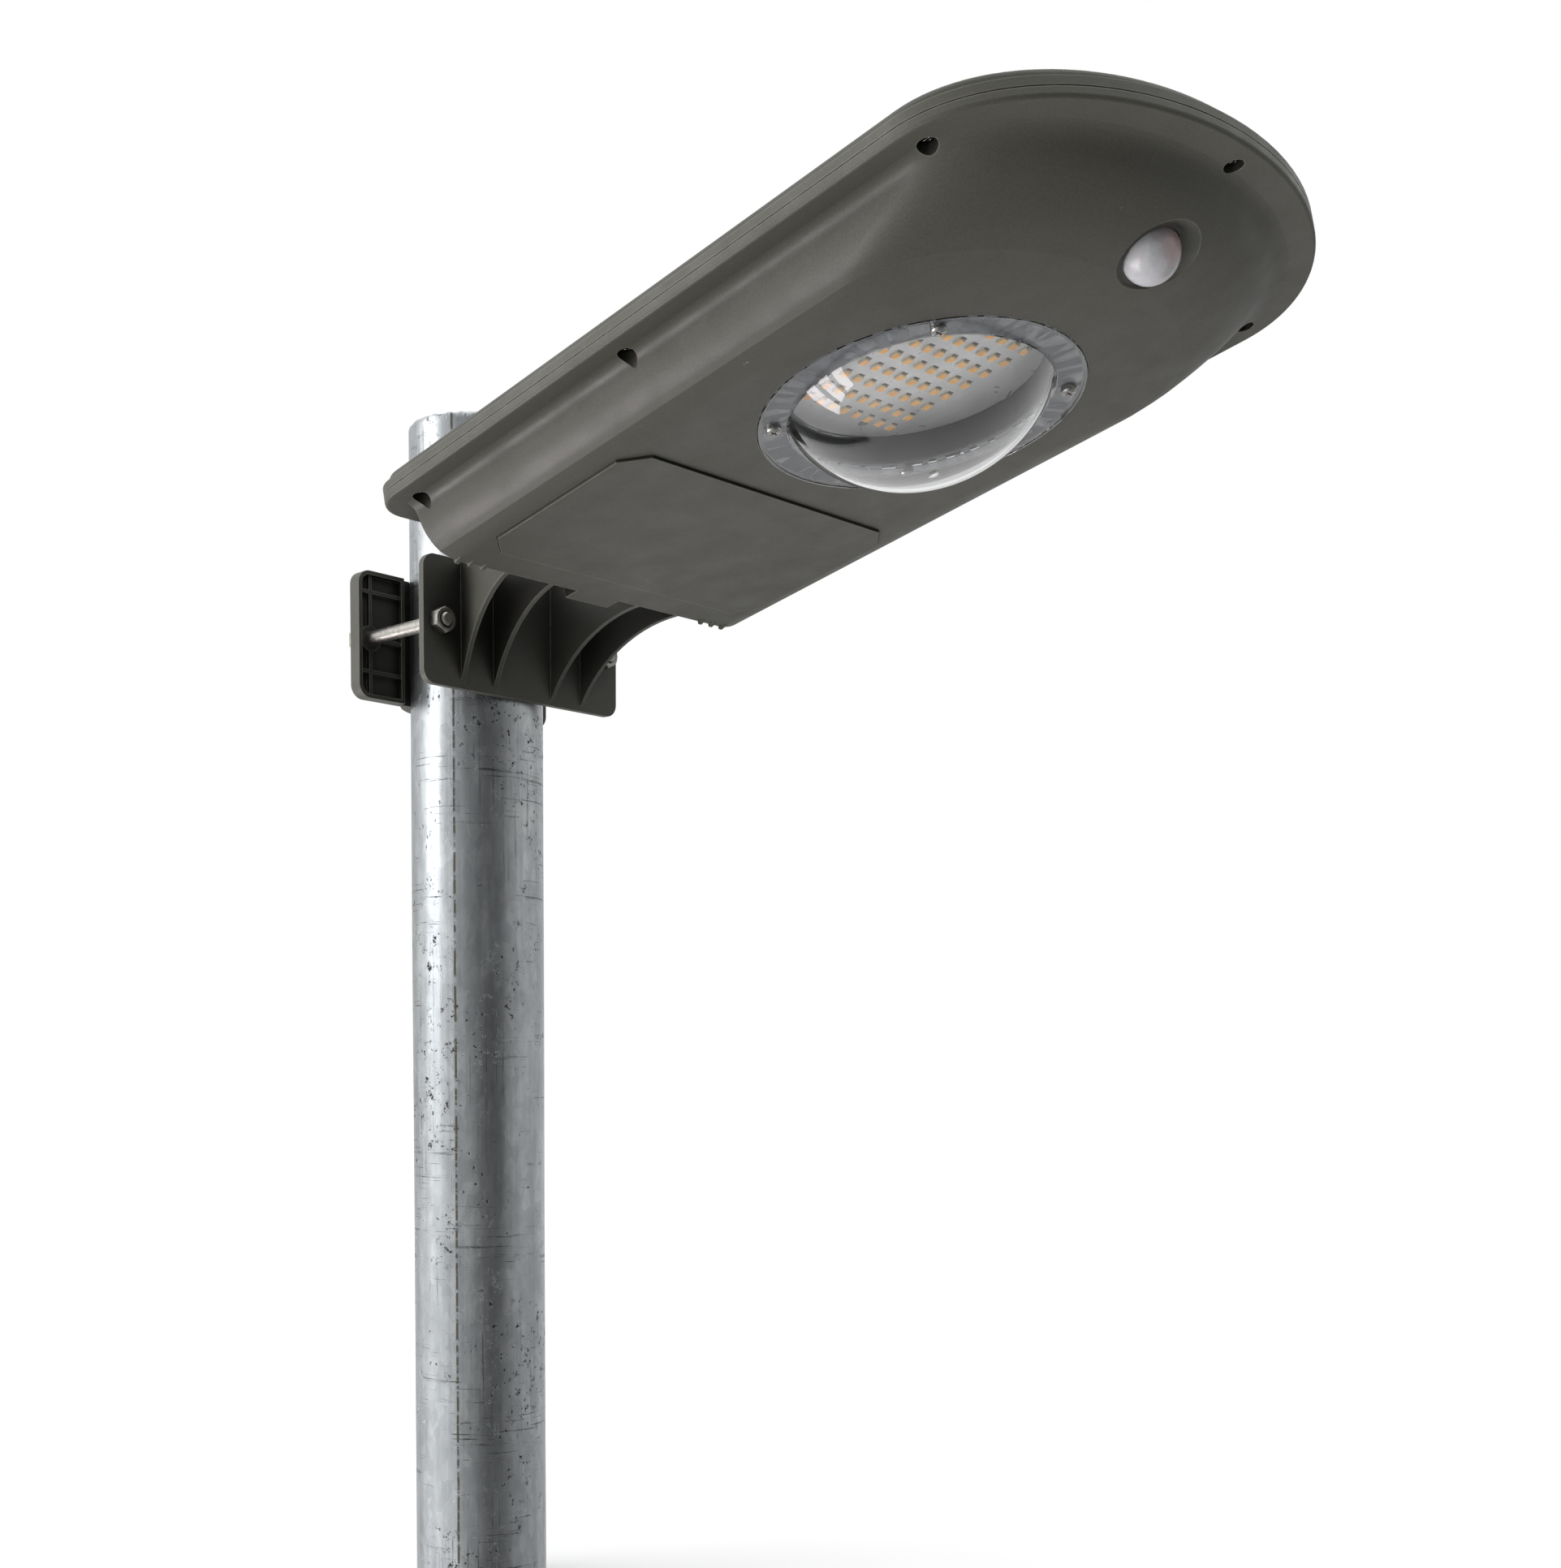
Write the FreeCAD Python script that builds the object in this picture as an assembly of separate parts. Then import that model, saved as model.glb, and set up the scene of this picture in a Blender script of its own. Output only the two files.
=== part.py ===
"""Solar street lamp: a cantilevered lamp head clamped near the top of a galvanised steel pole.

Frame: millimetres, +Z up along the pole, +X the way the head points, origin at the centre of the
pole's lower end. The head is drawn in its own frame first (x along the head from the rear edge of its
flat underside, z at right angles to that underside, z = 0 on the underside) and is then tilted and
lifted into place by HEAD.
"""
import FreeCAD, Part
import math
import os
from FreeCAD import Placement, Rotation, Vector

# ---- pole -----------------------------------------------------------------------------------------
POLE_R = 30.15                  # 2 inch nominal pipe, 60.3 mm outside diameter
POLE_WALL = 3.2
POLE_LENGTH = 530.0

# ---- where the head sits --------------------------------------------------------------------------
HEAD_X = 82.5                   # pole axis to the rear edge of the underside
HEAD_Z = 443.0                  # pole foot to the rear edge of the underside
HEAD_TILT = 12.3                # nose up, degrees

# ---- lamp head, head frame ------------------------------------------------------------------------
WALL = 2.5
RIM_HALF = 106.3                # half width over the rim
RIM_REAR = -11.7
RIM_NOSE_START = 259.0          # the straight sides end here and the elliptical nose begins
RIM_TIP = 324.0
RIM_CORNER_R = 14.0
RIM_Z = 19.2                    # underside of the rim
SEAM_Z = 22.6                   # lower shell meets the cover
SEAM_GROOVE = (0.45, 0.4)       # depth and height of the shadow line along the seam
COVER_STEP_Z = 26.1
COVER_TOP_Z = 30.8
BEZEL_STEP = 3.0
FLAT_HALF = 74.0                # half width of the truly flat part of the underside
CORNER_HALF = 84.2              # half width at the crisp lower corner
CORNER_Z = 2.2
# centre line of the bow, as (z, x): a long sweep up from the underside that flares into the rim
KEEL_PROFILE = ((0.0, 242.0), (0.25, 252.0), (1.0, 262.6), (CORNER_Z, 272.8), (3.6, 280.6), (6.0, 289.6),
                (10.0, 299.6), (14.0, 305.6), (17.2, 308.6), (18.4, 310.6), (19.2, 313.6))
FLAT_NOSE_START = 195.0
CORNER_NOSE_START = 215.0
# side wall above the crisp corner, as (z, half width)
SIDE_PROFILE = ((CORNER_Z, CORNER_HALF), (3.6, 86.2), (6.0, 88.5), (10.0, 91.0), (14.0, 92.4), (17.2, 93.7),
                (18.4, 95.1), (RIM_Z, 97.8))

PAD_X = (15.1, 104.3)           # raised octagonal pad, with no lettering
PAD_HALF = 75.0
PAD_CORNER = 9.6
PAD_RISE = 1.1
PAD_GROOVE = (0.5, 0.4)         # width and depth of the fine groove round the pad
TOOTH_Y = (62.5, 69.2, 75.8)    # small moulded teeth on the rear lower edge

# ---- solar panel ----------------------------------------------------------------------------------
PANEL_X = (-2.0, 252.0)
PANEL_HALF = 90.0
PANEL_FLOOR_Z = 27.9

# ---- light opening --------------------------------------------------------------------------------
LENS_X = 180.6
LENS_FLANGE_R = 61.0
LENS_FLANGE_T = 2.0
LENS_BASE_R = 50.5
LENS_DEPTH = 26.0
LENS_WALL = 1.8
SEAL_T = 0.8
LENS_SCREW_R = 55.1
LENS_LIP = (0.8, 0.5)           # width and height of the raised edge round the flange
LENS_GAP = 0.35                 # shadow gap round the flange
CUP_R = 48.2
BOARD_R = 47.8
BOARD_FACE_Z = 13.7             # lamp side of the circuit board
BOARD_T = 1.6
PAD_T = 0.5
LED_ROWS = 8
LED_PITCH_X = 9.18
LED_PITCH_Y = 6.83
LED_SIZE = (3.5, 2.8, 0.8)
PHOSPHOR_SIZE = (2.9, 2.3, 0.12)
WIRE_HOLE = (LENS_X - 36.0, 12.0)
WIRE_HOLE_R = 2.0

# ---- motion sensor --------------------------------------------------------------------------------
PIR_X = 282.5
PIR_Z = 3.8
PIR_TILT = 20.0
PIR_R = 10.2
PIR_SINK = 3.9                  # centre of the dome above the bow's surface
PIR_RECESS_R = 16.4
PIR_FLANGE_R = 12.7
PIR_BOARD_Z = (12.0, 13.2)

# ---- rim screws -----------------------------------------------------------------------------------
RIM_SCREW_X = (7.6, 128.0, 264.5)
RIM_SCREW_HALF = 96.0
NOSE_SCREW_X = 315.2
WELL_R = 3.4
WELL_FLOOR_Z = 23.2
BOSS_R = 5.0
GROOVE = (1.6, 3.6)             # seal groove, measured inwards from the rim
GROOVE_Z = 20.9
BOSS_TOP_Z = 25.6

# ---- small screws into the shell's bosses ---------------------------------------------------------
PILOT_R = 1.15                  # hole for a small screw
CLEAR_R = 1.4                   # hole that a small screw passes through
LENS_PILOT_R = 1.3
LENS_CLEAR_R = 1.7
LENS_BOSS_R = 3.6
CONTROL_POST_R = 3.0
STRAP_POST_R = 3.4
STRAP_POST_Z = 6.0

# ---- pole clamp, in the part frame but measured from the head's rear edge -------------------------
PLATE_FRONT = -49.0
PLATE_T = 3.0
PLATE_HALF = 55.6
PLATE_Z = (-38.0, 17.0)
PLATE_CORNER_R = 6.0
JAW_FRONT = -97.3
JAW_HALF = 54.2
JAW_DEPTH = 6.5
JAW_Z = (-37.5, 18.5)
JAW_FLOOR_T = 3.2
JAW_WALL = 1.8
JAW_RIB = (1.6, 1.3)            # thickness of the jaw's ribs and how far they stay below its rim
JAW_BOSS_R = 5.6
SADDLE_T = 4.5
SADDLE_HALF = 32.0
SADDLE_GAP_HALF = 29.5          # the jaw's front is cut back across its middle
SADDLE_SET_BACK = 3.5
CLAMP_BOLT_Y = 47.1
CLAMP_BOLT_Z = -11.0
BOLT_R = 2.95                   # M6
NUT_FLATS = 10.0
NUT_T = 5.0
RIB_T = 2.1
RIB_FEET = (16.5, 34.3)         # half spacing of the ribs at the plate
RIB_HEADS = (25.0, 49.5)        # half spacing of the ribs at the head
FIT = 0.05                      # radial running clearance

# ---- battery and electronics ----------------------------------------------------------------------
CELL_R = 9.2                    # 18650 cells
CELL_L = 65.0
CELL_X = 20.0
CELL_Y = (-58.0, -38.0, -18.0, 2.0)
CELL_Z = 14.2
CONTROL_X = (18.0, 104.0)
CONTROL_Y = (26.0, 68.0)
CONTROL_Z = 9.0

HEAD = Placement(Vector(HEAD_X, 0, HEAD_Z), Rotation(Vector(0, 1, 0), -HEAD_TILT))
CLAMP = Placement(Vector(HEAD_X, 0, HEAD_Z), Rotation())
UP = Vector(0, 0, 1)


def box(x, y, z):
    """A box from (low, high) pairs."""
    return Part.makeBox(x[1] - x[0], y[1] - y[0], z[1] - z[0], Vector(x[0], y[0], z[0]))


def cylinder(radius, z, x=0.0, y=0.0):
    return Part.makeCylinder(radius, z[1] - z[0], Vector(x, y, z[0]), UP)


def ring(outer, inner, z, x=0.0, y=0.0):
    return cylinder(outer, z, x, y).cut(cylinder(inner, (z[0] - 1, z[1] + 1), x, y))


def x_cylinder(radius, x, y, z):
    """A cylinder lying along x."""
    return Part.makeCylinder(radius, x[1] - x[0], Vector(x[0], y, z), Vector(1, 0, 0))


def revolve(profile, centre=Vector(0, 0, 0)):
    """A closed (radius, z) profile turned about the z axis through centre."""
    face = Part.Face(Part.makePolygon([Vector(r, 0, z) for r, z in profile + profile[:1]]))
    solid = face.revolve(Vector(0, 0, 0), UP, 360)
    solid.translate(centre)
    return solid


def fuse(shapes):
    """Join shapes one after another."""
    joined = shapes[0]
    for shape in shapes[1:]:
        joined = joined.fuse(shape)
    return joined


def cut(shape, tools):
    """Take tools away one after another."""
    for tool in tools:
        shape = shape.cut(tool)
    return shape


def save(name, shape, placement=None):
    """Write one sub-part, after moving it from its own frame to the part frame."""
    placed = shape.copy()
    if placement is not None:
        placed.Placement = placement.multiply(placed.Placement)
    solids = placed.Solids
    out = solids[0] if len(solids) == 1 else Part.makeCompound(solids)
    out.exportStep(os.path.join("parts", name + ".step"))
    print(name, len(solids), "solids, volume", round(sum(s.Volume for s in solids)), out.isValid())


# ---- outlines of the head -------------------------------------------------------------------------
def nose_curve(start, tip, half, z):
    """Half ellipse from (start, half) round (tip, 0) to (start, -half)."""
    ellipse = Part.Ellipse(Vector(start, half, z), Vector(tip, 0, z), Vector(start, 0, z))
    return ellipse.toShape(0, math.pi)


def rim_outline(inset, z):
    """Outline of the rim, moved inwards by inset."""
    half = RIM_HALF - inset
    rear = RIM_REAR + inset
    radius = max(RIM_CORNER_R - inset, 1.5)
    mid = radius * (1 - math.sqrt(0.5))
    edges = [Part.makeLine(Vector(rear, radius - half, z), Vector(rear, half - radius, z)),
             Part.Arc(Vector(rear, half - radius, z), Vector(rear + mid, half - mid, z),
                      Vector(rear + radius, half, z)).toShape(),
             Part.makeLine(Vector(rear + radius, half, z), Vector(RIM_NOSE_START, half, z)),
             nose_curve(RIM_NOSE_START, RIM_TIP - inset, half, z),
             Part.makeLine(Vector(RIM_NOSE_START, -half, z), Vector(rear + radius, -half, z)),
             Part.Arc(Vector(rear + radius, -half, z), Vector(rear + mid, mid - half, z),
                      Vector(rear, radius - half, z)).toShape()]
    return Part.Wire(edges)


def rim_slab(inset, z):
    return Part.Face(rim_outline(inset, z[0])).extrude(Vector(0, 0, z[1] - z[0]))


def rim_band(inset, z):
    """Closed band that follows the rim between two insets."""
    return rim_slab(inset[0], z).cut(rim_slab(inset[1], (z[0] - 1, z[1] + 1)))


def rounded_rim(inset, edge_z, inner_z, radius):
    """Slab from edge_z to inner_z whose edge at edge_z is rounded."""
    way = 1 if inner_z > edge_z else -1
    bands = []
    for i in range(5):
        angle = math.radians(22.5 * i)
        bands.append(rim_outline(inset + radius * (1 - math.sin(angle)),
                                 edge_z + way * radius * (1 - math.cos(angle))))
    lip = Part.makeLoft(bands, True, False)
    body = rim_slab(inset, sorted((edge_z + way * radius, inner_z)))
    return lip.fuse(body)


def hull_outline(rear, start, tip, half, z):
    """Outline of the tub at one height."""
    return Part.Wire([Part.makeLine(Vector(rear, -half, z), Vector(rear, half, z)),
                      Part.makeLine(Vector(rear, half, z), Vector(start, half, z)),
                      nose_curve(start, tip, half, z),
                      Part.makeLine(Vector(start, -half, z), Vector(rear, -half, z))])


def along(profile, z):
    """Value at height z on a profile of (z, value) pairs."""
    for (low, at_low), (high, at_high) in zip(profile, profile[1:]):
        if z <= high:
            return at_low + (at_high - at_low) * (z - low) / (high - low)
    return profile[-1][1]


def roll_rings():
    """(z, start of the nose, tip, half width) of the soft roll out of the flat underside."""
    rings = []
    for z, tip in KEEL_PROFILE[:4]:
        part = math.sqrt(z / CORNER_Z)
        start = FLAT_NOSE_START + (CORNER_NOSE_START - FLAT_NOSE_START) * part
        rings.append((z, start, tip, FLAT_HALF + (CORNER_HALF - FLAT_HALF) * part))
    return rings


def side_rings():
    """(z, start of the nose, tip, half width) up the flared side wall."""
    rings = []
    for z, half in SIDE_PROFILE:
        part = (z - CORNER_Z) / (RIM_Z - CORNER_Z)
        start = CORNER_NOSE_START + (RIM_NOSE_START - CORNER_NOSE_START) * part
        rings.append((z, start, along(KEEL_PROFILE, z), half))
    return rings


def tub(rear, inset, lift):
    """The tub below the rim, and the outline of its mouth."""
    lofts = []
    for rings in (roll_rings(), side_rings()):
        wires = [hull_outline(rear, start, tip - inset, half - inset, z + lift)
                 for z, start, tip, half in rings]
        lofts.append(Part.makeLoft(wires, True, False))
    return lofts[0].fuse(lofts[1]), wires[-1]


def rim_screw_places():
    places = [(x, side * RIM_SCREW_HALF) for x in RIM_SCREW_X for side in (-1, 1)]
    return places + [(NOSE_SCREW_X, 0.0)]


def lens_screw_places():
    return [(LENS_X + LENS_SCREW_R * math.cos(math.radians(a)), LENS_SCREW_R * math.sin(math.radians(a)))
            for a in (45, 135, 225, 315)]


def pir_place():
    """The sensor looks out almost at right angles to the bow."""
    return Placement(Vector(PIR_X, 0, PIR_Z), Rotation(Vector(0, 1, 0), -PIR_TILT))


PIR = pir_place()


def placed(shape, placement):
    moved = shape.copy()
    moved.Placement = placement.multiply(moved.Placement)
    return moved


def cross_screw(head_r, head_t, shank_r, shank_l, well_x, well_y, seat_z):
    """Pan-head cross-recess screw, head hanging below seat_z, shank above it."""
    dome = 0.45 * head_t
    head = revolve([(0, -head_t), (head_r * 0.55, -head_t), (head_r * 0.9, -head_t + dome * 0.5),
                    (head_r, -head_t + dome), (head_r, 0), (0, 0)])
    shank = revolve([(0, -0.1), (shank_r, -0.1), (shank_r, shank_l - shank_r), (0, shank_l)])
    slot_l, slot_w, slot_d = head_r * 0.62, head_r * 0.13, head_t * 0.6
    screw = head.fuse(shank)
    for long_x, long_y in ((slot_l, slot_w), (slot_w, slot_l)):
        screw = screw.cut(box((-long_x, long_x), (-long_y, long_y), (-head_t - 1, -head_t + slot_d)))
    screw = screw.removeSplitter()
    screw.translate(Vector(well_x, well_y, seat_z))
    return screw


# ---- lower shell with its moulded pole bracket ----------------------------------------------------
def octagon(grow, z):
    """Slab with the pad's outline moved outwards by grow."""
    x0, x1 = PAD_X[0] - grow, PAD_X[1] + grow
    half = PAD_HALF + grow
    c = PAD_CORNER + grow * (2 - math.sqrt(2))
    points = [(x0, c - half), (x0 + c, -half), (x1 - c, -half), (x1, c - half),
              (x1, half - c), (x1 - c, half), (x0 + c, half), (x0, half - c)]
    wire = Part.makePolygon([Vector(x, y, z[0]) for x, y in points + points[:1]])
    return Part.Face(wire).extrude(Vector(0, 0, z[1] - z[0]))


def pad_groove():
    return octagon(PAD_GROOVE[0], (-PAD_RISE - 1, PAD_GROOVE[1])).cut(octagon(0.0, (-PAD_RISE - 2, 2.0)))


def rear_tooth(y):
    """Small moulded wedge on the rear lower edge."""
    profile = ((-0.8, -0.9), (3.6, 0.1), (-0.8, 1.2), (-0.8, -0.9))
    wire = Part.makePolygon([Vector(x, y, z) for x, z in profile])
    return Part.Face(wire).extrude(Vector(0, 2.0, 0)).translated(Vector(0, -1.0, 0))


def rib(foot, head_end):
    """Fanned bracket rib with a concave front edge, in the clamp frame."""
    plate = PLATE_FRONT - 0.5
    foot_z = PLATE_Z[0] + 1.5
    front = Part.Arc(Vector(plate, 0, foot_z), Vector(-31.0, 0, -12.8), Vector(0.6, 0, 0.6)).toShape()
    loop = [front,
            Part.makeLine(Vector(0.6, 0, 0.6), Vector(-3.0, 0, 19.5)),
            Part.makeLine(Vector(-3.0, 0, 19.5), Vector(-14.0, 0, 17.4)),
            Part.makeLine(Vector(-14.0, 0, 17.4), Vector(plate, 0, PLATE_Z[1] - 1.0)),
            Part.makeLine(Vector(plate, 0, PLATE_Z[1] - 1.0), Vector(plate, 0, foot_z))]
    web = Part.Face(Part.Wire(loop)).extrude(Vector(0, RIB_T, 0))
    web.translate(Vector(-PLATE_FRONT, -RIB_T / 2, 0))
    fan = math.degrees(math.atan2(head_end - foot, -PLATE_FRONT))
    return placed(web, Placement(Vector(PLATE_FRONT, foot, 0), Rotation(UP, fan)))


def upright_plate(x, half, z, radius):
    """Upright plate across y with rounded corners."""
    plate = box(x, (-half, half), z)
    edges = [e for e in plate.Edges if abs(e.tangentAt(e.FirstParameter).x) > 0.9]
    return plate.makeFillet(radius, edges)


def pole_pads(x):
    """Two vertical grip ribs, cut to the pole's curve."""
    pads = [box(x, (y - 3.0, y + 3.0), (PLATE_Z[0] + 3, PLATE_Z[1] - 3)) for y in (-15.0, 15.0)]
    pole = cylinder(POLE_R + FIT, (PLATE_Z[0] - 5, PLATE_Z[1] + 5), -HEAD_X)
    return [pad.cut(pole) for pad in pads]


def bolt_holes(x):
    return [x_cylinder(BOLT_R + FIT, x, y, CLAMP_BOLT_Z) for y in (-CLAMP_BOLT_Y, CLAMP_BOLT_Y)]


def bracket():
    plate = upright_plate((PLATE_FRONT - PLATE_T, PLATE_FRONT), PLATE_HALF, PLATE_Z, PLATE_CORNER_R)
    back = PLATE_FRONT - PLATE_T
    pieces = [plate] + pole_pads((back - 4.6, back + 0.5))
    for foot, head_end in zip(RIB_FEET, RIB_HEADS):
        pieces += [rib(foot, head_end), rib(-foot, -head_end)]
    solid = fuse(pieces)
    return cut(solid, bolt_holes((back - 1, PLATE_FRONT + 1)))


def lower_shell():
    hull = tub(-6.0, 0.0, 0.0)[0]
    outer = hull.cut(box((-20, 0), (-130, 130), (-5, 40)))
    flange = rounded_rim(0.0, RIM_Z, SEAM_Z, 1.2)
    inside, mouth = tub(-6.0, WALL, WALL)
    throat = Part.Face(mouth).extrude(Vector(0, 0, 6.0))
    cavity = fuse([inside, throat]).cut(box((-20, WALL), (-130, 130), (-5, 60)))
    shell = fuse([outer, flange]).cut(cavity)
    adds = [octagon(0.0, (-PAD_RISE, 0.5)), box((-7.6, 1.0), (-12.0, 12.0), (0, 6.5)),
            cylinder(CUP_R + 2.0, (1.0, BOARD_FACE_Z + BOARD_T + PAD_T + 2.0), LENS_X),
            ring(LENS_FLANGE_R + 3.0, CUP_R, (1.0, 5.6), LENS_X)]
    adds += [rear_tooth(side * y) for y in TOOTH_Y for side in (-1, 1)]
    adds += [cylinder(BOSS_R, (RIM_Z + 0.5, BOSS_TOP_Z), x, y) for x, y in rim_screw_places()]
    adds += [cylinder(LENS_BOSS_R, (4.0, 12.0), x, y) for x, y in lens_screw_places()]
    adds += [cylinder(CONTROL_POST_R, (1.5, CONTROL_Z), x, y) for x, y in control_posts()]
    adds += [cylinder(STRAP_POST_R, (1.5, STRAP_POST_Z), x, y) for x, y in strap_posts()]
    outside = placed(cylinder(PIR_RECESS_R + 3.0, (-12, 7.0)), PIR).common(fuse([outer, flange]))
    adds.append(outside)
    adds += [placed(cylinder(2.6, (5.0, 12.0), x, y), PIR) for x, y in pir_screw_places()]
    shell = fuse([shell] + adds)
    cuts = [cylinder(LENS_FLANGE_R + LENS_GAP, (-2, LENS_FLANGE_T + SEAL_T), LENS_X),
            cylinder(CUP_R, (0, BOARD_FACE_Z + BOARD_T + PAD_T), LENS_X),
            cylinder(WIRE_HOLE_R + 0.5, (10, 30), *WIRE_HOLE)]
    cuts += [cylinder(LENS_PILOT_R, (0, 11.0), x, y) for x, y in lens_screw_places()]
    cuts += [cylinder(WELL_R, (8.0, WELL_FLOOR_Z), x, y) for x, y in rim_screw_places()]
    cuts += [cylinder(1.6, (WELL_FLOOR_Z - 1, 40), x, y) for x, y in rim_screw_places()]
    cuts += [cylinder(PILOT_R, (2.8, 30), x, y) for x, y in control_posts() + strap_posts()]
    cuts.append(placed(revolve([(0, -14), (PIR_RECESS_R + 2.0, -14), (PIR_RECESS_R, 0.0), (PIR_R + 1.6, 3.2),
                                (PIR_R + 0.3, 3.2), (PIR_R + 0.3, 12.0), (0, 12.0)]), PIR))
    cuts += [placed(cylinder(PILOT_R, (6.5, 16.0), x, y), PIR) for x, y in pir_screw_places()]
    cuts += [rim_band(GROOVE, (GROOVE_Z, SEAM_Z + 1)), pad_groove()]
    return fuse([placed(cut(shell, cuts), HEAD), placed(bracket(), CLAMP)])


# ---- cover, seal and solar panel ------------------------------------------------------------------
def cover():
    flange = rim_slab(0.0, (SEAM_Z, COVER_STEP_Z))
    bezel = rounded_rim(BEZEL_STEP, COVER_TOP_Z, COVER_STEP_Z - 1.0, 1.8)
    solid = fuse([flange, bezel])
    cuts = [rim_slab(14.0, (SEAM_Z - 1, COVER_STEP_Z)),
            box((PANEL_X[0] - 0.4, PANEL_X[1] + 0.4), (-PANEL_HALF - 0.4, PANEL_HALF + 0.4),
                (PANEL_FLOOR_Z, 40)),
            cylinder(6.0, (20, 40), 30.0)]
    cuts += [cylinder(BOSS_R + 0.4, (SEAM_Z - 1, BOSS_TOP_Z + 0.3), x, y) for x, y in rim_screw_places()]
    cuts += [cylinder(1.5, (SEAM_Z - 1, 29.6), x, y) for x, y in rim_screw_places()]
    cuts.append(rim_band((-1.0, SEAM_GROOVE[0]), (SEAM_Z - 1, SEAM_Z + SEAM_GROOVE[1])))
    return solid.cut(Part.makeCompound(cuts))


def panel_cells():
    """Two columns of six cells."""
    cells = []
    rows, columns = 6, 2
    pitch_x = (PANEL_X[1] - PANEL_X[0] - 14.0) / rows
    pitch_y = (2 * PANEL_HALF - 12.0) / columns
    for i in range(rows):
        for j in range(columns):
            x = PANEL_X[0] + 7.0 + i * pitch_x
            y = -PANEL_HALF + 6.0 + j * pitch_y
            cells.append(box((x + 0.8, x + pitch_x - 0.8), (y + 0.8, y + pitch_y - 0.8),
                             (PANEL_FLOOR_Z + 0.9, PANEL_FLOOR_Z + 1.1)))
    return Part.makeCompound(cells)


def panel_slab(z):
    return box(PANEL_X, (-PANEL_HALF, PANEL_HALF), (PANEL_FLOOR_Z + z[0], PANEL_FLOOR_Z + z[1]))


# ---- light unit -----------------------------------------------------------------------------------
def cap_solid(base_r, depth, z):
    """Spherical cap hanging below z."""
    sphere = (base_r ** 2 + depth ** 2) / (2 * depth)
    ball = Part.makeSphere(sphere, Vector(0, 0, z - depth + sphere))
    return ball.common(cylinder(base_r + 5, (z - depth - 5, z)))


def lens_screw_clearance():
    return Part.makeCompound([cylinder(LENS_CLEAR_R, (-5, 5), x, y) for x, y in lens_screw_places()])


def lens():
    outer = cap_solid(LENS_BASE_R, LENS_DEPTH, 0.5)
    skin = outer.cut(cap_solid(LENS_BASE_R - LENS_WALL, LENS_DEPTH - LENS_WALL, 0.5))
    flange = ring(LENS_FLANGE_R, LENS_BASE_R - LENS_WALL, (0.0, LENS_FLANGE_T))
    lip = ring(LENS_FLANGE_R, LENS_FLANGE_R - LENS_LIP[0], (-LENS_LIP[1], 0.1))
    solid = fuse([skin, flange, lip])
    solid.translate(Vector(LENS_X, 0, 0))
    return solid.cut(lens_screw_clearance())


def lens_gasket():
    seal = ring(LENS_FLANGE_R - 1.5, CUP_R + 0.6, (LENS_FLANGE_T, LENS_FLANGE_T + SEAL_T), LENS_X)
    return seal.cut(lens_screw_clearance())


def led_places():
    offset = (LED_ROWS - 1) / 2.0
    return [(LENS_X + (i - offset) * LED_PITCH_X, (j - offset) * LED_PITCH_Y)
            for i in range(LED_ROWS) for j in range(LED_ROWS)]


def led_grid(size, z):
    return Part.makeCompound([box((x - size[0] / 2, x + size[0] / 2), (y - size[1] / 2, y + size[1] / 2), z)
                              for x, y in led_places()])


def led_board():
    board = cylinder(BOARD_R, (BOARD_FACE_Z, BOARD_FACE_Z + BOARD_T), LENS_X)
    return board.cut(cylinder(WIRE_HOLE_R, (0, 30), *WIRE_HOLE))


def thermal_pad():
    back = BOARD_FACE_Z + BOARD_T
    disc = cylinder(BOARD_R - 1, (back, back + PAD_T), LENS_X)
    return disc.cut(cylinder(WIRE_HOLE_R, (0, 30), *WIRE_HOLE))


# ---- motion sensor, in its own frame: z = 0 on the bow, z up into the head -------------------------
def pir_screw_places():
    return [(0.0, -15.6), (0.0, 15.6)]


def pir_lens():
    centre = Vector(0, 0, PIR_SINK)
    dome = Part.makeSphere(PIR_R, centre).common(cylinder(PIR_R + 1, (-PIR_R - 1, PIR_SINK)))
    outer = dome.fuse(cylinder(PIR_R, (PIR_SINK, 7.2)))
    inner = Part.makeSphere(PIR_R - 0.8, centre).fuse(cylinder(PIR_R - 0.8, (PIR_SINK, 9)))
    return outer.cut(inner).fuse(ring(PIR_FLANGE_R, PIR_R - 0.8, (7.2, 8.4))).removeSplitter()


def pir_board():
    board = box((-13.0, 13.0), (-18.6, 18.6), PIR_BOARD_Z)
    return board.cut(Part.makeCompound([cylinder(1.2, (0, 20), x, y) for x, y in pir_screw_places()]))


def pir_can():
    can = cylinder(4.1, (3.5, 8.0)).fuse(cylinder(4.6, (7.6, 8.6)))
    legs = [cylinder(0.25, (8.6, 11.9), x, y) for x, y in ((-1.8, -1.8), (1.8, -1.8), (0, 2.5))]
    return fuse([can] + legs)


# ---- battery and controller -----------------------------------------------------------------------
def control_posts():
    return [(x, y) for x in (CONTROL_X[0] + 4.0, CONTROL_X[1] - 4.0)
            for y in (CONTROL_Y[0] + 4.0, CONTROL_Y[1] - 4.0)]


def strap_posts():
    return [(CELL_X + CELL_L / 2, -72.0), (CELL_X + CELL_L / 2, 16.0)]


def battery_cells():
    cells = []
    for y in CELL_Y:
        can = x_cylinder(CELL_R, (CELL_X, CELL_X + CELL_L - 1.2), y, CELL_Z)
        cap = x_cylinder(3.0, (CELL_X + CELL_L - 1.3, CELL_X + CELL_L), y, CELL_Z)
        cells.append(can.fuse(cap))
    return Part.makeCompound(cells)


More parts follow.
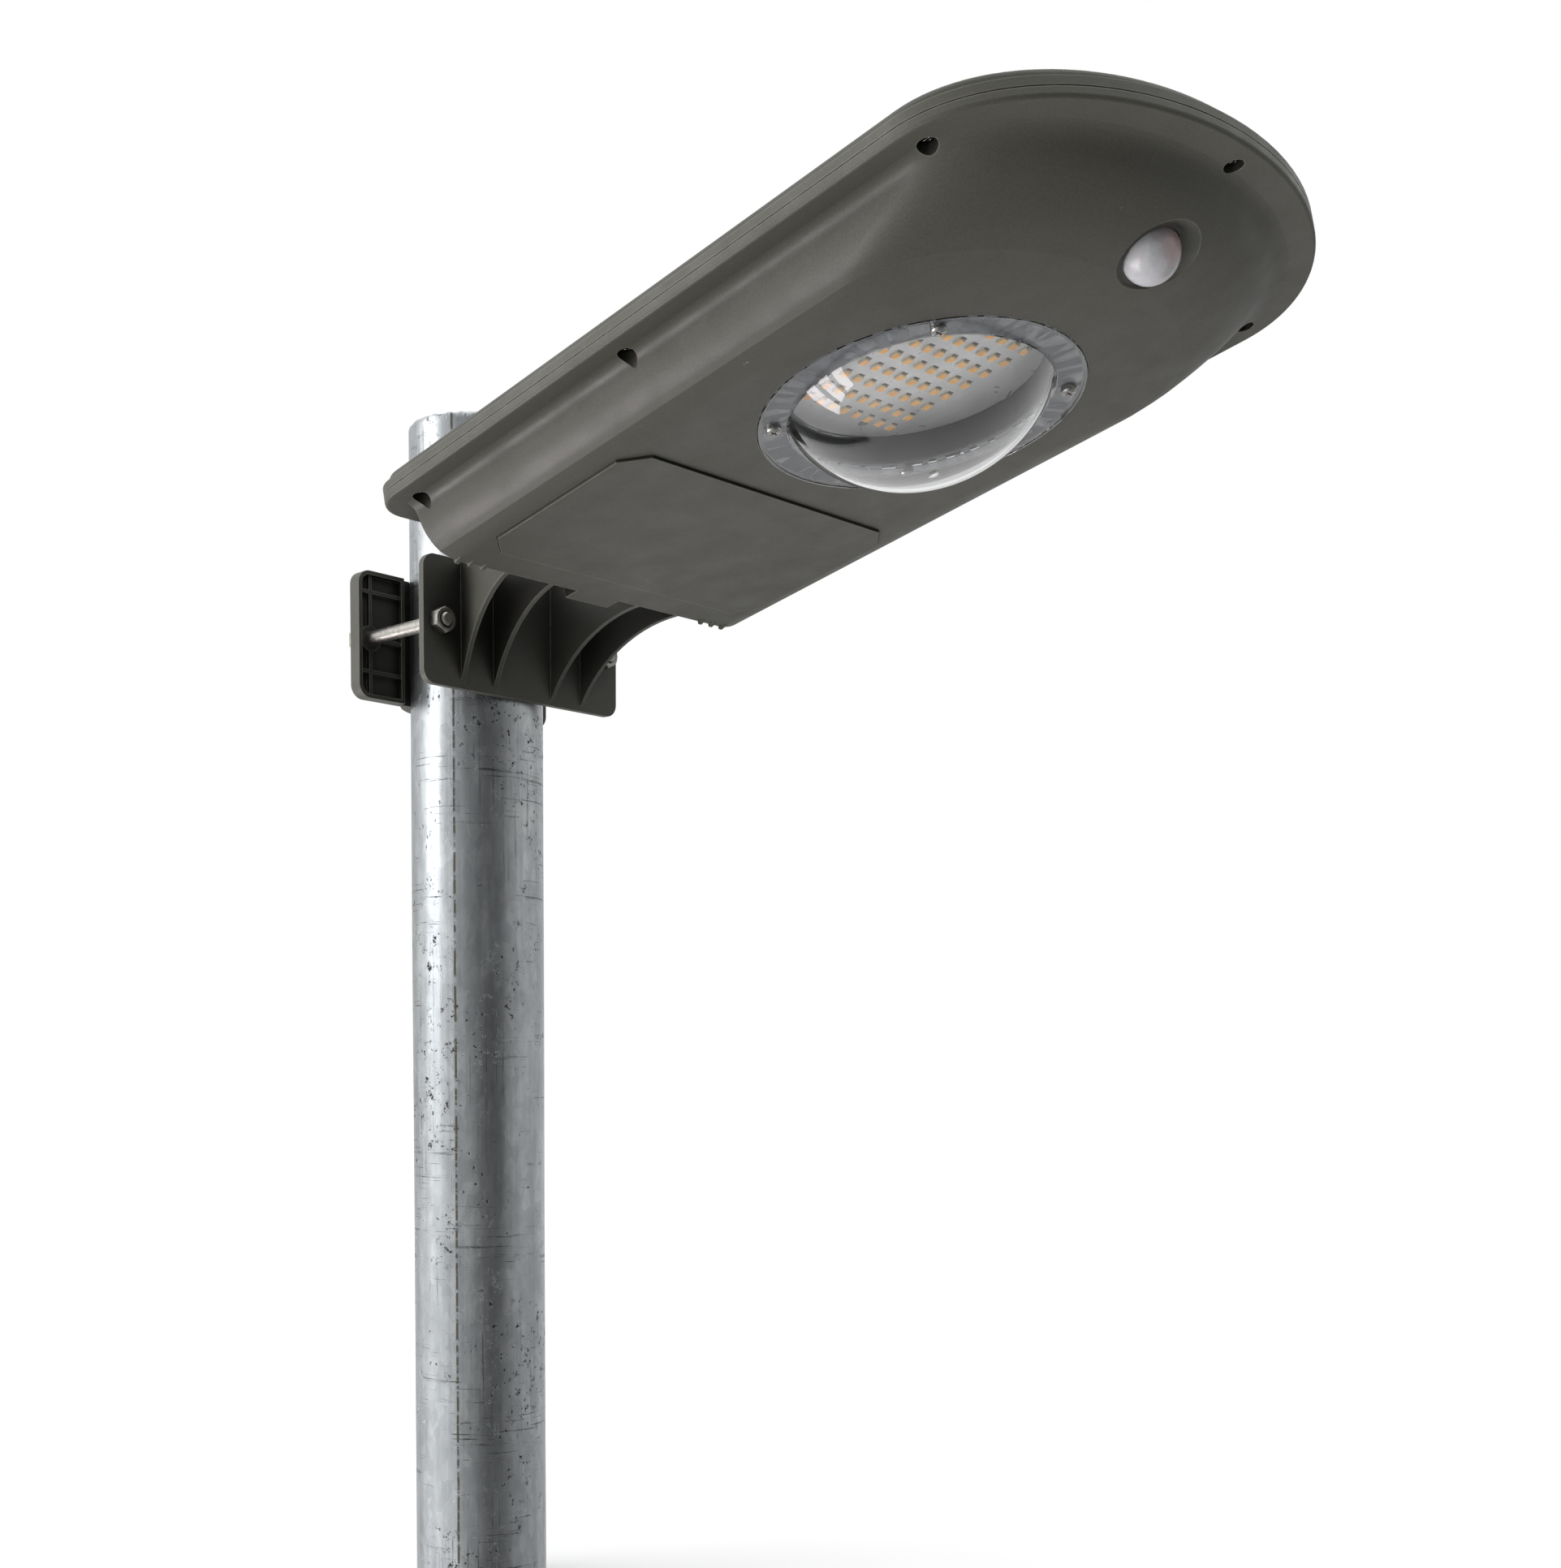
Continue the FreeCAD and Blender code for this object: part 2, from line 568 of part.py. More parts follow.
def battery_cradle():
    y0, y1 = CELL_Y[0] - 10.2, CELL_Y[-1] + 10.2
    floor = box((CELL_X - 3.0, CELL_X + CELL_L + 3.0), (y0, y1), (WALL + 0.3, 9.0))
    ends = [box(x, (y0, y1), (WALL + 0.3, 16.0))
            for x in ((CELL_X - 3.0, CELL_X - 0.8), (CELL_X + CELL_L + 0.8, CELL_X + CELL_L + 3.0))]
    solid = fuse([floor] + ends)
    cells = [x_cylinder(CELL_R + 0.15, (CELL_X - 0.8, CELL_X + CELL_L + 0.8), y, CELL_Z) for y in CELL_Y]
    return solid.cut(Part.makeCompound(cells))


def battery_strips():
    """Nickel strips joining neighbouring cells at their ends."""
    near, far = CELL_X - 0.4, CELL_X + CELL_L + 0.05
    strips = []
    for y_low, y_high in ((CELL_Y[0], CELL_Y[1]), (CELL_Y[2], CELL_Y[3])):
        strips.append(box((near, near + 0.35), (y_low - 4, y_high + 4), (CELL_Z - 4, CELL_Z + 4)))
        strips.append(box((far, far + 0.35), (y_low - 4, y_high + 4), (CELL_Z - 4, CELL_Z + 4)))
    return Part.makeCompound(strips)


def battery_strap():
    """Flat hold-down strap over the cells."""
    mid = CELL_X + CELL_L / 2
    top = CELL_Z + CELL_R + 0.2
    y0, y1 = [place[1] for place in strap_posts()]
    band = [box((mid - 6, mid + 6), (y0 + 2.5, y1 - 2.5), (top, top + 1.0)),
            box((mid - 6, mid + 6), (y0 + 2.5, y0 + 3.5), (STRAP_POST_Z, top + 1.0)),
            box((mid - 6, mid + 6), (y1 - 3.5, y1 - 2.5), (STRAP_POST_Z, top + 1.0)),
            box((mid - 6, mid + 6), (y0 - 4, y0 + 3.5), (STRAP_POST_Z, STRAP_POST_Z + 1.0)),
            box((mid - 6, mid + 6), (y1 - 3.5, y1 + 4), (STRAP_POST_Z, STRAP_POST_Z + 1.0))]
    return fuse(band).cut(Part.makeCompound([cylinder(CLEAR_R, (0, 30), x, y) for x, y in strap_posts()]))


def small_screws(places, seat_z, length):
    """Pan-head screws driven downwards from above."""
    screws = []
    for x, y in places:
        screw = cross_screw(2.3, 1.5, 1.1, length, 0, 0, 0)
        screw.rotate(Vector(0, 0, 0), Vector(1, 0, 0), 180)
        screw.translate(Vector(x, y, seat_z))
        screws.append(screw)
    return Part.makeCompound(screws)


def controller_board():
    board = box(CONTROL_X, CONTROL_Y, (CONTROL_Z, CONTROL_Z + 1.6))
    return board.cut(Part.makeCompound([cylinder(CLEAR_R, (0, 30), x, y) for x, y in control_posts()]))


def controller_connectors():
    """Four two-pin board connectors along the inner edge, open upwards."""
    base = CONTROL_Z + 1.6
    housings = []
    for x in (32.0, 48.0, 64.0, 80.0):
        body = box((x, x + 9.0), (CONTROL_Y[0] + 1.0, CONTROL_Y[0] + 7.0), (base, base + 7.0))
        socket = box((x + 1, x + 8), (CONTROL_Y[0] + 2.0, CONTROL_Y[0] + 6.0), (base + 1.5, base + 8))
        housings.append(body.cut(socket))
    return Part.makeCompound(housings)


def controller_chips():
    base = CONTROL_Z + 1.6
    places = ((34.0, 46.0, 9.9, 3.9), (52.0, 46.0, 6.6, 6.1), (64.0, 46.0, 6.6, 6.1), (76.0, 46.0, 6.6, 6.1))
    return Part.makeCompound([box((x, x + length), (y, y + width), (base, base + 1.8))
                              for x, y, length, width in places])


def controller_coil():
    base = CONTROL_Z + 1.6
    x, y = 88.0, 56.0
    return fuse([cylinder(6.0, (base, base + 1.5), x, y),
                 cylinder(4.6, (base + 1.5, base + 5.5), x, y),
                 cylinder(6.0, (base + 5.5, base + 7.0), x, y)])


def controller_capacitors():
    base = CONTROL_Z + 1.6
    return Part.makeCompound([cylinder(4.0, (base, base + 11.0), x, 58.0) for x in (36.0, 48.0)])


# ---- pole clamp -----------------------------------------------------------------------------------
def rear_jaw():
    """Ribbed tray with a saddle across its middle that follows the pole."""
    x = (JAW_FRONT - JAW_DEPTH, JAW_FRONT)
    height = (JAW_Z[0] - 1, JAW_Z[1] + 1)
    tray = upright_plate(x, JAW_HALF, JAW_Z, PLATE_CORNER_R)
    inner = upright_plate((x[0] + JAW_FLOOR_T, x[1] + 5), JAW_HALF - JAW_WALL,
                          (JAW_Z[0] + JAW_WALL, JAW_Z[1] - JAW_WALL), PLATE_CORNER_R - JAW_WALL)
    saddle = cylinder(POLE_R + SADDLE_T, JAW_Z, -HEAD_X)
    pieces = [tray.cut(inner), saddle.common(box((-150, x[1]), (-SADDLE_HALF, SADDLE_HALF), height))]
    half_t = JAW_RIB[0] / 2
    rib_x = (x[0] + 1, x[1] - JAW_RIB[1])
    for side in (-1, 1):
        y = side * CLAMP_BOLT_Y
        pieces.append(box(rib_x, (y - half_t, y + half_t), (JAW_Z[0] + 1, JAW_Z[1] - 1)))
        pieces.append(x_cylinder(JAW_BOSS_R, rib_x, y, CLAMP_BOLT_Z))
    for z in (JAW_Z[0] + 12.0, CLAMP_BOLT_Z, JAW_Z[1] - 9.0):
        pieces.append(box(rib_x, (1 - JAW_HALF, JAW_HALF - 1), (z - half_t, z + half_t)))
    cuts = [cylinder(POLE_R + FIT, height, -HEAD_X),
            box((x[1] - SADDLE_SET_BACK, x[1] + 1), (-SADDLE_GAP_HALF, SADDLE_GAP_HALF), height)]
    return cut(fuse(pieces), cuts + bolt_holes((x[0] - 1, x[1] + 1)))


def clamp_bolts():
    """Hexagon-head bolts, heads behind the jaw, plain rounded ends just past the nuts."""
    bolts = []
    back = JAW_FRONT - JAW_DEPTH
    for side in (-1, 1):
        y = side * CLAMP_BOLT_Y
        head = hex_prism(NUT_FLATS, back - 4.0, back, y, CLAMP_BOLT_Z)
        shank = x_cylinder(BOLT_R, (back - 0.5, PLATE_FRONT + NUT_T + 1.4), y, CLAMP_BOLT_Z)
        tip = [e for e in shank.Edges if abs(e.CenterOfMass.x - (PLATE_FRONT + NUT_T + 1.4)) < 0.01]
        bolts.append(head.fuse(shank.makeChamfer(0.7, tip)))
    return Part.makeCompound(bolts)


def hex_prism(flats, x0, x1, y, z):
    """Hexagonal prism along x with a point up."""
    radius = flats / math.sqrt(3)
    turns = [math.radians(60 * i) for i in range(7)]
    points = [Vector(x0, y + radius * math.sin(turn), z + radius * math.cos(turn)) for turn in turns]
    return Part.Face(Part.makePolygon(points)).extrude(Vector(x1 - x0, 0, 0))


def clamp_nut(side):
    y = side * CLAMP_BOLT_Y
    x0, x1 = PLATE_FRONT + FIT, PLATE_FRONT + FIT + NUT_T
    prism = hex_prism(NUT_FLATS, x0, x1, y, CLAMP_BOLT_Z)
    corner = NUT_FLATS / math.sqrt(3)
    cone = Part.makeCone(corner + 6, corner - 0.9, 8.0, Vector(x1 - 8.0, y, CLAMP_BOLT_Z), Vector(1, 0, 0))
    nut = prism.common(cone)
    nut = nut.cut(x_cylinder(BOLT_R + FIT, (x0 - 1, x1 + 1), y, CLAMP_BOLT_Z))
    mouth = Part.makeCone(BOLT_R, BOLT_R + 0.8, 0.8, Vector(x1 - 0.8, y, CLAMP_BOLT_Z), Vector(1, 0, 0))
    return nut.cut(mouth)


def main():
    os.makedirs("parts", exist_ok=True)
    save("pole_tube", ring(POLE_R, POLE_R - POLE_WALL, (0, POLE_LENGTH)))
    save("lower_shell", lower_shell())
    save("upper_cover", cover(), HEAD)
    save("rim_seal", rim_band((GROOVE[0] + 0.1, GROOVE[1] - 0.1), (GROOVE_Z, SEAM_Z)), HEAD)
    save("panel_backsheet", panel_slab((0.0, 0.4)), HEAD)
    save("panel_encapsulant", panel_slab((0.4, 1.6)).cut(panel_cells()), HEAD)
    save("panel_cells", panel_cells(), HEAD)
    save("panel_glass", panel_slab((1.6, 2.6)), HEAD)
    save("rim_screws", Part.makeCompound([cross_screw(2.8, 2.0, 1.45, 6.0, x, y, WELL_FLOOR_Z)
                                          for x, y in rim_screw_places()]), HEAD)
    save("lens_dome", lens(), HEAD)
    save("lens_seal", lens_gasket(), HEAD)
    save("lens_screws", Part.makeCompound([cross_screw(2.9, 1.9, 1.25, 9.5, x, y, 0.0)
                                           for x, y in lens_screw_places()]), HEAD)
    save("led_thermal_pad", thermal_pad(), HEAD)
    save("led_board", led_board(), HEAD)
    led_top = BOARD_FACE_Z - LED_SIZE[2]
    save("led_packages", led_grid(LED_SIZE, (led_top, BOARD_FACE_Z)), HEAD)
    save("led_phosphor", led_grid(PHOSPHOR_SIZE, (led_top - PHOSPHOR_SIZE[2], led_top)), HEAD)
    sensor = HEAD.multiply(PIR)
    save("pir_lens", pir_lens(), sensor)
    save("pir_sensor", pir_can(), sensor)
    save("pir_board", pir_board(), sensor)
    save("pir_screws", small_screws(pir_screw_places(), PIR_BOARD_Z[1], 6.0), sensor)
    save("battery_cradle", battery_cradle(), HEAD)
    save("battery_cells", battery_cells(), HEAD)
    save("battery_strips", battery_strips(), HEAD)
    save("battery_strap", battery_strap(), HEAD)
    save("battery_screws", small_screws(strap_posts(), STRAP_POST_Z + 1.0, 4.0), HEAD)
    save("controller_board", controller_board(), HEAD)
    save("controller_screws", small_screws(control_posts(), CONTROL_Z + 1.6, 5.5), HEAD)
    save("controller_connectors", controller_connectors(), HEAD)
    save("controller_chips", controller_chips(), HEAD)
    save("controller_coil", controller_coil(), HEAD)
    save("controller_capacitors", controller_capacitors(), HEAD)
    save("rear_jaw", rear_jaw(), CLAMP)
    save("clamp_bolts", clamp_bolts(), CLAMP)
    save("clamp_nut_left", clamp_nut(-1), CLAMP)
    save("clamp_nut_right", clamp_nut(1), CLAMP)


main()
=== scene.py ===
"""Looks of the solar street lamp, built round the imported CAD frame. Lengths are in metres."""
import math

import bmesh
import bpy
from mathutils import Matrix, Vector, noise


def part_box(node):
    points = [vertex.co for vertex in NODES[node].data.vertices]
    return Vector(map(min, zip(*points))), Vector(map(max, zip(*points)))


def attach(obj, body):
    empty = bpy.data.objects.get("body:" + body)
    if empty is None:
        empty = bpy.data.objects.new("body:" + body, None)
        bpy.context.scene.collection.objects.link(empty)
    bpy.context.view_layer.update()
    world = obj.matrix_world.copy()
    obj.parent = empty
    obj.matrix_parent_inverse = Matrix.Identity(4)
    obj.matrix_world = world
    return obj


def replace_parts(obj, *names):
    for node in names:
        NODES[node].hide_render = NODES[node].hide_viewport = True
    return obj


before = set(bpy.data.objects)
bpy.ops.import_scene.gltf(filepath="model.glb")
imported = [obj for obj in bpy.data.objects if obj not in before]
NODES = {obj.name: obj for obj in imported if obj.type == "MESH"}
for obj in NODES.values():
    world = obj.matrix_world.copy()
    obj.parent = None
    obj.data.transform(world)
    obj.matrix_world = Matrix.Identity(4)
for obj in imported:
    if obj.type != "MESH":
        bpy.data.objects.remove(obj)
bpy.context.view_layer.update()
MM = 0.001

# ---- sizes repeated from the CAD source, millimetres ----------------------------------------------
POLE_R, POLE_WALL, POLE_LENGTH = 30.15, 3.2, 530.0
HEAD_X, HEAD_Z, HEAD_TILT = 82.5, 443.0, 12.3
LENS_X, BOARD_FACE_Z = 180.6, 13.7
LED_ROWS, LED_PITCH_X, LED_PITCH_Y = 8, 9.18, 6.83

# ---- sizes of what the CAD source doesn't have, millimetres unless said ---------------------------
WELD_ANGLE = math.radians(-59)
SPANGLE = 260                   # zinc crystals per metre
FACETS = 270                    # facets of the sensor dome per metre
GLOW_SHARE = 0.42               # the sensor's red lamp from its middle, as a share of its width
CELL_PROUD = 0.05
MARK_SHIFT, MARK_HALF_X, MARK_HALF_Y = 2.35, 0.5, 1.4
MARK_SUNK, MARK_PROUD = 0.05, 0.02

HEAD = (Matrix.Translation((HEAD_X * MM, 0, HEAD_Z * MM))
        @ Matrix.Rotation(-math.radians(HEAD_TILT), 4, "Y") @ Matrix.Scale(MM, 4))


# ---- material building ----------------------------------------------------------------------------
class Paint:
    """A node material, built from the shader back to its patterns."""

    def __init__(self, name, colour, roughness, metallic=0.0, **sockets):
        self.material = bpy.data.materials.new(name)
        self.material.use_nodes = True
        self.tree = self.material.node_tree
        self.shader = self.tree.nodes["Principled BSDF"]
        self.shader.inputs["Base Color"].default_value = (*colour, 1)
        self.shader.inputs["Roughness"].default_value = roughness
        self.shader.inputs["Metallic"].default_value = metallic
        for socket, value in sockets.items():
            self.shader.inputs[socket.replace("_", " ")].default_value = value
        self.place = self.node("ShaderNodeTexCoord").outputs["Object"]

    def node(self, kind, inputs=None, **settings):
        made = self.tree.nodes.new(kind)
        for key, value in settings.items():
            setattr(made, key, value)
        for key, value in (inputs or {}).items():
            self.feed(made.inputs[key], value)
        return made

    def feed(self, socket, value):
        if isinstance(value, bpy.types.NodeSocket):
            self.tree.links.new(value, socket)
        elif socket.type == "RGBA" and len(value) == 3:
            socket.default_value = (*value, 1)
        else:
            socket.default_value = value

    def set(self, socket, value):
        self.feed(self.shader.inputs[socket], value)

    def mapped(self, scale, turn=(0, 0, 0)):
        """The object's coordinates, stretched and turned."""
        return self.node("ShaderNodeMapping", {"Vector": self.place, "Scale": scale,
                                               "Rotation": turn}).outputs["Vector"]

    def noise(self, scale, detail=3.0, rough=0.55, at=None):
        return self.node("ShaderNodeTexNoise", {"Vector": at or self.place, "Scale": scale,
                                                "Detail": detail, "Roughness": rough}).outputs["Fac"]

    def cells(self, scale, at=None, output="Distance", randomness=1.0):
        return self.node("ShaderNodeTexVoronoi", {"Vector": at or self.place, "Scale": scale,
                                                  "Randomness": randomness}).outputs[output]

    def ramp(self, value, *stops):
        """Colour ramp from (position, colour or grey) stops."""
        made = self.node("ShaderNodeValToRGB", {"Fac": value})
        marks = made.color_ramp.elements
        while len(marks) < len(stops):
            marks.new(0.5)
        for mark, (position, colour) in zip(marks, stops):
            mark.position = position
            rgb = colour if isinstance(colour, tuple) else (colour,) * 3
            mark.color = (*rgb, 1)
        return made.outputs["Color"]

    def math(self, operation, a, b=0.0):
        return self.node("ShaderNodeMath", {0: a, 1: b}, operation=operation).outputs[0]

    def mix(self, amount, a, b, blend="MIX"):
        made = self.node("ShaderNodeMix", data_type="RGBA", blend_type=blend)
        self.feed(made.inputs[0], amount)
        self.feed(made.inputs[6], a)
        self.feed(made.inputs[7], b)
        return made.outputs[2]

    def bump(self, height, distance, strength=1.0, normal=None):
        made = self.node("ShaderNodeBump", {"Height": height, "Distance": distance, "Strength": strength})
        if normal is not None:
            self.feed(made.inputs["Normal"], normal)
        return made.outputs["Normal"]

    def recess(self, reach):
        """0 deep in a recess, 1 on open surfaces."""
        return self.node("ShaderNodeAmbientOcclusion", {"Distance": reach}, samples=8).outputs["AO"]

    def rounded(self, radius):
        """Normal of the surface with its edges rounded."""
        return self.node("ShaderNodeBevel", {"Radius": radius}, samples=6).outputs["Normal"]

    def edges(self, radius, gain=6.0):
        """1 on edges, 0 on open surfaces."""
        plain = self.node("ShaderNodeNewGeometry").outputs["Normal"]
        same = self.node("ShaderNodeVectorMath", {0: self.rounded(radius), 1: plain},
                         operation="DOT_PRODUCT").outputs["Value"]
        lost = self.math("SUBTRACT", 1.0, same)
        made = self.node("ShaderNodeMath", {0: lost, 1: gain}, operation="MULTIPLY", use_clamp=True)
        return made.outputs[0]


def shell_plastic():
    """Moulded plastic: fine spark-eroded grain, paler edges that are partly wear and partly a painted edge
    highlight, scuffs, and painted shade in its recesses.
    """
    p = Paint("shell_plastic", (0.06, 0.059, 0.0465), 0.5)
    cloud = p.noise(14, 4, 0.6)
    grain = p.noise(1500, 2, 0.7)
    fleck = p.cells(900)
    base = p.ramp(cloud, (0.3, (0.055, 0.054, 0.0425)), (0.7, (0.062, 0.061, 0.0485)))
    base = p.mix(p.ramp(grain, (0.4, 0.0), (0.64, 0.45)), base, (0.088, 0.0875, 0.071))
    # painted shade: the colour goes near black deep in recesses and between parts, where shade falls
    painted_recess_shade = p.ramp(p.recess(0.06), (0.35, 0.92), (0.8, 0.0))
    base = p.mix(painted_recess_shade, base, (0.008, 0.0078, 0.007))
    # paler edges: partly wear, partly a painted edge highlight
    wear_and_edge_highlight = p.math("MULTIPLY", p.edges(0.7 * MM, 7.0), p.ramp(p.noise(160, 3), (0.3, 0.5), (0.65, 1.0)))
    base = p.mix(wear_and_edge_highlight, base, (0.2, 0.2, 0.165))
    streaks = p.noise(30, 6, 0.7, p.mapped((1.0, 9.0, 9.0), (0, math.radians(HEAD_TILT), 0)))
    scuff = p.math("MULTIPLY", p.ramp(streaks, (0.69, 0.0), (0.73, 1.0)),
                   p.ramp(p.noise(420, 4, 0.7), (0.52, 0.0), (0.58, 0.8)))
    base = p.mix(scuff, base, (0.34, 0.34, 0.32))
    p.set("Base Color", base)
    p.set("Roughness", p.ramp(p.noise(60, 5, 0.6), (0.3, 0.42), (0.7, 0.56)))
    fine = p.bump(grain, 0.05 * MM, 0.35, p.rounded(0.25 * MM))
    p.set("Normal", p.bump(fleck, 0.03 * MM, 0.2, fine))
    return p.material


def zinc():
    """Hot-dip galvanised steel: drawn streaks, spangle, a weld seam, pits, scratches and dull patches."""
    p = Paint("zinc", (0.5, 0.52, 0.53), 0.3, 1.0)
    drawn = p.noise(150, 6, 0.65, p.mapped((1.0, 1.0, 0.03)))
    soft = p.noise(30, 5, 0.6, p.mapped((1.0, 1.0, 0.3)))
    spangle = p.cells(SPANGLE, p.mapped((1.0, 1.0, 0.5)), output="Color")
    tone = p.ramp(drawn, (0.3, (0.36, 0.385, 0.41)), (0.5, (0.48, 0.505, 0.515)),
                  (0.7, (0.6, 0.62, 0.615)))
    tone = p.mix(p.ramp(soft, (0.35, 0.0), (0.7, 0.6)), tone, (0.41, 0.435, 0.455))
    grey = p.node("ShaderNodeRGBToBW", {"Color": spangle}).outputs["Val"]
    tone = p.mix(0.35, tone, p.ramp(grey, (0.2, 0.25), (0.8, 0.75)), "SOFT_LIGHT")
    blotch = p.ramp(p.noise(95, 5, 0.7, p.mapped((1.0, 1.0, 0.6))), (0.4, 0.0), (0.62, 0.55))
    tone = p.mix(blotch, tone, (0.33, 0.345, 0.36))

    def clustered(mask, scale, low, high):
        return p.math("MULTIPLY", mask, p.ramp(p.noise(scale, 3), (low, 0.0), (high, 1.0)))

    split = p.node("ShaderNodeSeparateXYZ", {"Vector": p.place})
    angle = p.math("ARCTAN2", split.outputs["Y"], split.outputs["X"])
    sway = p.noise(30, 2, 0.5, p.mapped((0.01, 0.01, 1.0)))
    wander = p.math("MULTIPLY", p.math("SUBTRACT", sway, 0.5), 0.03)
    away = p.math("ABSOLUTE", p.math("SUBTRACT", p.math("ADD", angle, wander), WELD_ANGLE))
    seam = p.math("MULTIPLY", p.ramp(away, (0.012, 1.0), (0.028, 0.0)),
                  p.ramp(p.noise(110, 4, 0.7, p.mapped((0.02, 0.02, 1.0))), (0.38, 0.0), (0.5, 0.95)))
    bead = p.ramp(away, (0.02, 1.0), (0.1, 0.0))
    ragged = p.noise(900, 2, 0.6)
    holes = p.math("ADD", p.cells(300, p.mapped((1.0, 1.0, 0.6))), p.math("MULTIPLY", ragged, 0.5))
    specks = clustered(p.ramp(holes, (0.34, 1.0), (0.42, 0.0)), 30, 0.5, 0.56)
    pits = clustered(p.ramp(p.noise(240, 6, 0.8), (0.58, 0.0), (0.61, 1.0)), 22, 0.47, 0.55)
    across = p.noise(120, 5, 0.8, p.mapped((0.15, 0.15, 6.0)))
    nicks = clustered(p.ramp(across, (0.585, 0.0), (0.61, 0.95)), 34, 0.5, 0.55)
    along = p.noise(160, 5, 0.8, p.mapped((6.0, 6.0, 0.07)))
    lines = clustered(p.ramp(along, (0.58, 0.0), (0.62, 0.85)), 24, 0.47, 0.56)
    tone = p.mix(lines, tone, (0.17, 0.18, 0.19))
    tone = p.mix(nicks, tone, (0.08, 0.085, 0.09))
    tone = p.mix(specks, tone, (0.1, 0.105, 0.11))
    tone = p.mix(pits, tone, (0.06, 0.062, 0.065))
    tone = p.mix(seam, tone, (0.14, 0.13, 0.11))
    p.set("Base Color", tone)
    rough = p.ramp(p.noise(80, 5, 0.65, p.mapped((1.0, 1.0, 0.12))), (0.3, 0.22), (0.7, 0.42))
    rough = p.mix(p.math("MAXIMUM", pits, seam), rough, (0.8, 0.8, 0.8))
    p.set("Roughness", rough)
    wave = p.bump(p.noise(60, 4, 0.55, p.mapped((1.0, 1.0, 0.15))), 0.5 * MM, 0.35)
    crystal = p.bump(p.cells(SPANGLE, p.mapped((1.0, 1.0, 0.5))), 0.08 * MM, 0.3, wave)
    raised = p.bump(p.math("MULTIPLY", bead, p.noise(420, 4, 0.7)), 0.35 * MM, 0.5, crystal)
    p.set("Normal", p.bump(p.math("MAXIMUM", pits, specks), -0.15 * MM, 0.6, raised))
    return p.material


def steel(name, colour, roughness):
    """Turned or drawn fastener steel with tool marks and tarnish."""
    p = Paint(name, colour, roughness, 1.0)
    tarnish = p.noise(420, 5, 0.65)
    dark = tuple(c * 0.55 for c in colour)
    tone = p.mix(p.ramp(tarnish, (0.42, 0.0), (0.7, 0.8)), colour, dark)
    tone = p.mix(p.edges(0.35 * MM, 5.0), tone, tuple(min(c * 1.35, 0.95) for c in colour))
    p.set("Base Color", tone)
    p.set("Roughness", p.ramp(p.noise(900, 3, 0.6), (0.3, roughness * 0.75), (0.7, roughness * 1.4)))
    marks = p.noise(1500, 3, 0.7, p.mapped((0.1, 1.0, 1.0)))
    p.set("Normal", p.bump(marks, 0.05 * MM, 0.45, p.rounded(0.2 * MM)))
    return p.material


def clear_lens():
    """Clear polycarbonate with faint haze, moulding swirl and fine wipe marks."""
    p = Paint("clear_lens", (0.97, 0.98, 0.985), 0.03, Transmission_Weight=1.0, IOR=1.5)
    haze = p.noise(35, 5, 0.6)
    wipe = p.ramp(p.noise(320, 5, 0.75, p.mapped((1.0, 7.0, 1.0))), (0.7, 0.0), (0.8, 1.0))
    rough = p.mix(wipe, p.ramp(haze, (0.35, 0.008), (0.75, 0.02)), (0.04, 0.04, 0.04))
    p.set("Roughness", rough)
    cloudy = p.ramp(haze, (0.4, 0.0), (0.8, 0.15))
    p.set("Base Color", p.mix(cloudy, (0.98, 0.985, 0.99), (0.92, 0.94, 0.955)))
    p.set("Normal", p.bump(p.noise(22, 1), 0.01 * MM, 0.1))
    return p.material


def plain(name, colour, roughness, scale=500, spread=0.18, relief=0.03, **sockets):
    """A moulded, coated or printed surface with mottled tone, uneven gloss and fine relief."""
    p = Paint(name, colour, roughness, **sockets)
    cloud = p.noise(scale * 0.12, 4, 0.6)
    grain = p.noise(scale * 2.5, 3, 0.65)
    dim = tuple(c * (1 - spread) for c in colour)
    tone = p.mix(p.ramp(cloud, (0.3, 0.0), (0.7, 1.0)), dim, colour)
    p.set("Base Color", p.mix(p.ramp(grain, (0.45, 0.0), (0.8, 0.3)), tone, dim))
    p.set("Roughness", p.ramp(p.noise(scale, 4), (0.3, roughness * 0.85),
                              (0.7, min(roughness * 1.2, 1.0))))
    p.set("Normal", p.bump(grain, relief * MM, 0.5, p.rounded(0.25 * MM)))
    return p.material


def in_head(p):
    """Coordinates along the lamp head, in millimetres."""
    moved = p.node("ShaderNodeVectorMath", {0: p.place, 1: (-HEAD_X * MM, 0, -HEAD_Z * MM)},
                   operation="ADD").outputs[0]
    return p.node("ShaderNodeMapping", {"Vector": moved, "Rotation": (0, math.radians(HEAD_TILT), 0),
                                        "Scale": (1 / MM,) * 3}).outputs["Vector"]


def line_mask(p, value, pitch, width, offset=0.0):
    """1 on lines of that width, one at each pitch."""
    phase = p.math("PINGPONG", p.math("ADD", value, offset), pitch / 2)
    return p.math("LESS_THAN", phase, width / 2)


